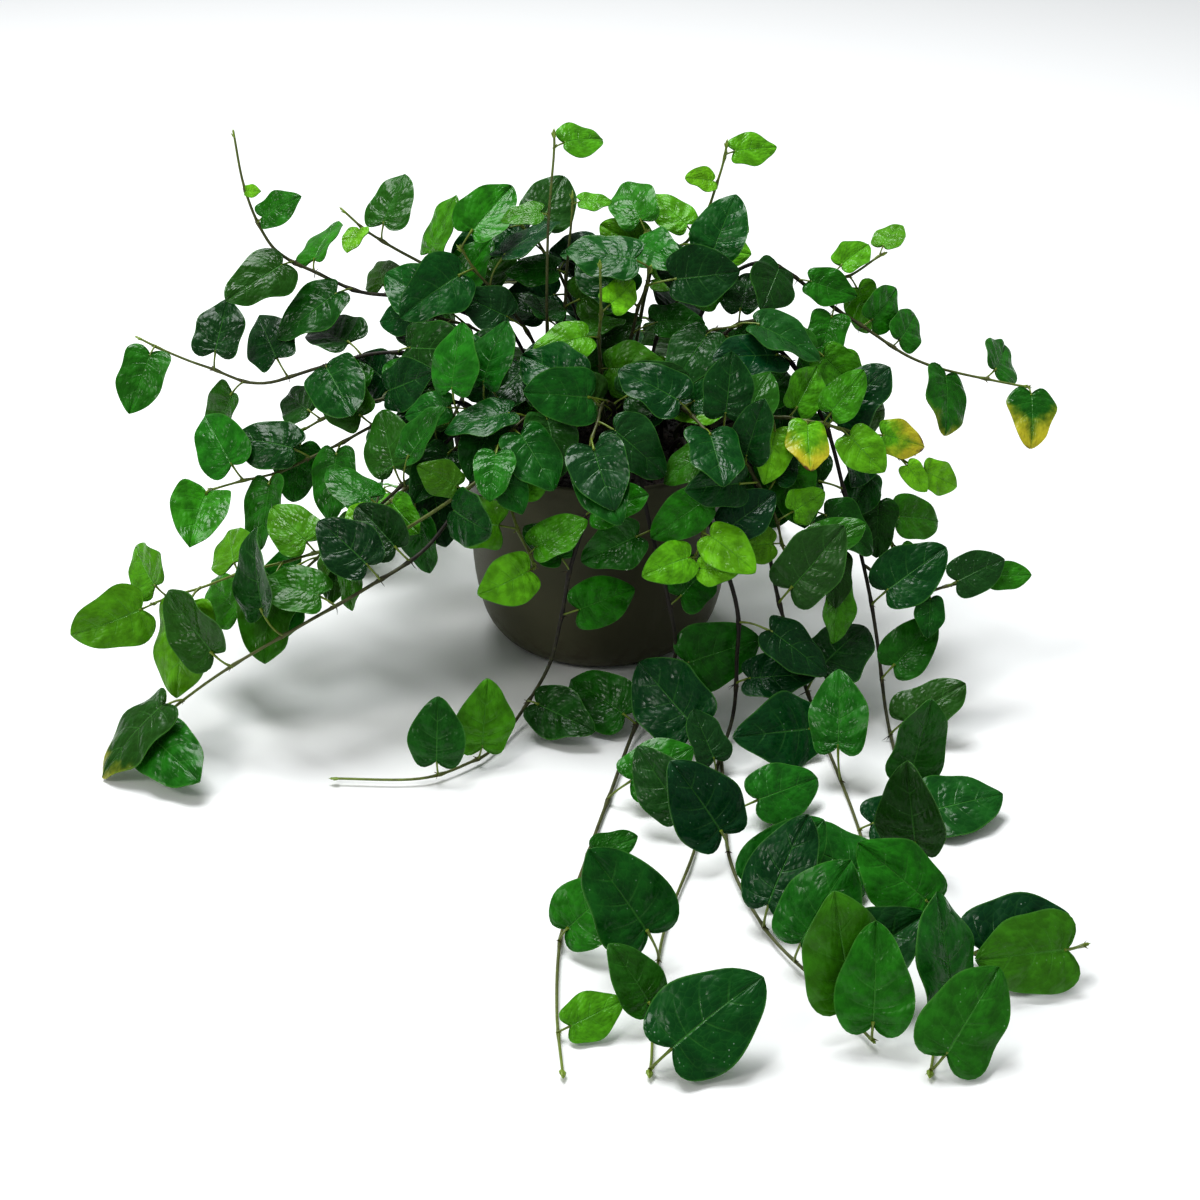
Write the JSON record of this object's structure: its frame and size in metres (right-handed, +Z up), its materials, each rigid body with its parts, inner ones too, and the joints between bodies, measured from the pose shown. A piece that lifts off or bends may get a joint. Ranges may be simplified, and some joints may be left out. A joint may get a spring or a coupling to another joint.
{
  "type": "potted creeping fig",
  "caption": "Small-leaved trailing fig in a plain bowl-bottomed pot: leafy stems rise from the peat, arch over the rim and trail to the surface it stands on.",
  "frame": {"origin": "middle of the pot's flat underside", "axes": "+Z up the pot's axis, -Y towards the side that the picture shows, +X to that view's right"},
  "size_m": [0.4158, 0.4865, 0.2331],
  "materials": {
    "pot": "smooth taupe moulded plastic, satin",
    "soil": "dark damp peat, rough and crumbly",
    "leafy_stem": "glossy blistered dark green leaves on brown stems",
    "young_stem": "fresh bright green leaves on olive stems"
  },
  "bodies": {
    "root": {"pot": "pot", "soil": "soil", "front_runner": "leafy_stem", "middle_left": "leafy_stem", "middle_right": "leafy_stem", "right_main": "leafy_stem", "right_second": "leafy_stem", "right_cluster": "young_stem", "right_low": "leafy_stem", "right_rim": "leafy_stem", "right_fall": "leafy_stem", "right_crown": "leafy_stem", "right_upper": "leafy_stem", "upper_right": "young_stem", "upright_tall": "leafy_stem", "upright_middle": "leafy_stem", "upright_short": "young_stem", "left_olive": "young_stem", "left_dark": "leafy_stem", "left_mid": "leafy_stem", "left_low": "leafy_stem", "left_inner": "leafy_stem", "left_hang": "leafy_stem", "left_far": "leafy_stem", "left_upright": "leafy_stem", "left_upper": "leafy_stem", "crown_left": "leafy_stem", "crown_front_left": "leafy_stem", "crown_front": "leafy_stem", "crown_front_right": "leafy_stem", "crown_right": "leafy_stem", "crown_middle": "leafy_stem", "crown_back": "leafy_stem", "crown_back_left": "leafy_stem", "crown_back_right": "leafy_stem", "crown_far_left": "leafy_stem", "crown_low_left": "leafy_stem", "front_short_left": "young_stem", "front_short_right": "young_stem", "back_left": "leafy_stem", "back_middle": "leafy_stem", "back_right": "leafy_stem", "back_short": "leafy_stem", "back_upper": "leafy_stem", "side_right": "leafy_stem", "side_left": "leafy_stem"}
  },
  "joints": []
}
